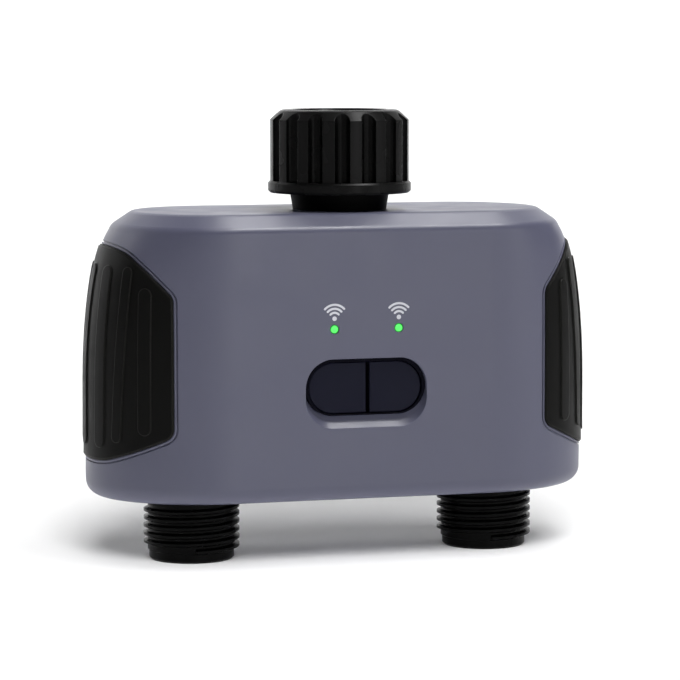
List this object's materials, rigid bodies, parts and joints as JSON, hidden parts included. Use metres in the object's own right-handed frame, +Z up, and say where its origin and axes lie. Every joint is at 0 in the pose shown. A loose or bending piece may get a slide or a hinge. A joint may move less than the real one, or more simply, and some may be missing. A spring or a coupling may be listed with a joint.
{
  "type": "smart water timer",
  "caption": "Garden tap water timer: rounded case with ribbed side grips, swivel hose inlet on top, threaded outlets below, paired buttons and status lights.",
  "frame": {"origin": "under the middle of the case, on the plane of the outlets' lower ends", "axes": "+Z up along the inlet, +X to the right as seen from the front, the buttons face -Y"},
  "size_m": [0.1458, 0.06, 0.1248],
  "materials": {
    "case_plastic": "satin moulded plastic",
    "grip_rubber": "soft ribbed rubber",
    "nut_plastic": "fine textured plastic",
    "outlet_plastic": "moulded thread",
    "button_plastic": "satin",
    "bezel_plastic": "smooth",
    "inner_plastic": "moulded glass-filled plastic",
    "seal_rubber": "smooth seal",
    "silicone": "soft silicone",
    "light_green": "clear, lit green",
    "steel": "plain",
    "spring_steel": "drawn wire",
    "screen_steel": "perforated",
    "winding_copper": "enamelled wire",
    "bobbin_nylon": "nylon",
    "board_green": "glass-fibre board with solder mask",
    "chip_black": "moulded packages",
    "module_metal": "pressed shield",
    "chip_white": "light chips",
    "cell_wrap": "wrapped dry cell",
    "contact_metal": "plated strip"
  },
  "bodies": {
    "case": {"front_shell": "case_plastic", "rear_shell": "case_plastic", "left_grip": "grip_rubber", "right_grip": "grip_rubber", "inlet_collar": "inner_plastic", "inlet_tailpiece": "inner_plastic", "inlet_washer": "seal_rubber", "tailpiece_oring": "seal_rubber", "shell_gasket": "seal_rubber", "battery_gasket": "seal_rubber", "filter_screen": "screen_steel", "manifold": "inner_plastic", "case_screws": "steel", "button_bezel": "bezel_plastic", "circuit_board": "board_green", "board_components": "chip_black", "wireless_module": "module_metal", "led_chips": "chip_white", "board_screws": "steel", "battery_box": "inner_plastic", "battery_contacts": "contact_metal", "battery_1": "cell_wrap", "battery_2": "cell_wrap", "battery_3": "cell_wrap", "battery_4": "cell_wrap", "left_outlet": "outlet_plastic", "left_outlet_oring": "seal_rubber", "left_diaphragm": "seal_rubber", "left_bonnet": "inner_plastic", "left_bonnet_screws": "steel", "left_plunger_spring": "spring_steel", "left_pole_piece": "steel", "left_coil_bobbin": "bobbin_nylon", "left_coil_winding": "winding_copper", "left_coil_yoke": "steel", "left_coil_nut": "steel", "left_button_dome": "silicone", "left_light_pipe": "light_green", "right_outlet": "outlet_plastic", "right_outlet_oring": "seal_rubber", "right_diaphragm": "seal_rubber", "right_bonnet": "inner_plastic", "right_bonnet_screws": "steel", "right_plunger_spring": "spring_steel", "right_pole_piece": "steel", "right_coil_bobbin": "bobbin_nylon", "right_coil_winding": "winding_copper", "right_coil_yoke": "steel", "right_coil_nut": "steel", "right_button_dome": "silicone", "right_light_pipe": "light_green"},
    "inlet_nut": {"inlet_nut": "nut_plastic"},
    "battery_door": {"battery_door": "case_plastic"},
    "left_button": {"left_button": "button_plastic"},
    "left_plunger": {"left_plunger": "steel"},
    "left_diaphragm_core": {"left_diaphragm_core": "inner_plastic"},
    "right_button": {"right_button": "button_plastic"},
    "right_plunger": {"right_plunger": "steel"},
    "right_diaphragm_core": {"right_diaphragm_core": "inner_plastic"}
  },
  "joints": [
    {"name": "inlet_nut_spin", "type": "hinge", "parent": "case", "child": "inlet_nut", "pos_m": [0, -0.0035, 0.105], "axis": [0, 0, 1], "continuous": true},
    {"name": "battery_door_hinge", "type": "hinge", "parent": "case", "child": "battery_door", "pos_m": [0, 0.029, 0.0329], "axis": [-1, 0, 0], "range_deg": [0, 90]},
    {"name": "left_button_press", "type": "slide", "parent": "case", "child": "left_button", "axis": [0, 1, 0], "range_m": [0, 0.0008], "stiffness_N_per_m": 500, "deforming": ["left_button_dome"]},
    {"name": "left_plunger_slide", "type": "slide", "parent": "case", "child": "left_plunger", "axis": [0, 0, 1], "range_m": [0, 0.003], "stiffness_N_per_m": 60, "deforming": ["left_plunger_spring"]},
    {"name": "left_core_lift", "type": "slide", "parent": "case", "child": "left_diaphragm_core", "axis": [0, 0, 1], "range_m": [0, 0.0024], "deforming": ["left_diaphragm"]},
    {"name": "right_button_press", "type": "slide", "parent": "case", "child": "right_button", "axis": [0, 1, 0], "range_m": [0, 0.0008], "stiffness_N_per_m": 500, "deforming": ["right_button_dome"]},
    {"name": "right_plunger_slide", "type": "slide", "parent": "case", "child": "right_plunger", "axis": [0, 0, 1], "range_m": [0, 0.003], "stiffness_N_per_m": 60, "deforming": ["right_plunger_spring"]},
    {"name": "right_core_lift", "type": "slide", "parent": "case", "child": "right_diaphragm_core", "axis": [0, 0, 1], "range_m": [0, 0.0024], "deforming": ["right_diaphragm"]}
  ],
  "couplings": [
    {"joint": "left_core_lift", "follows": "left_plunger_slide", "ratio": 0.8},
    {"joint": "right_core_lift", "follows": "right_plunger_slide", "ratio": 0.8}
  ]
}
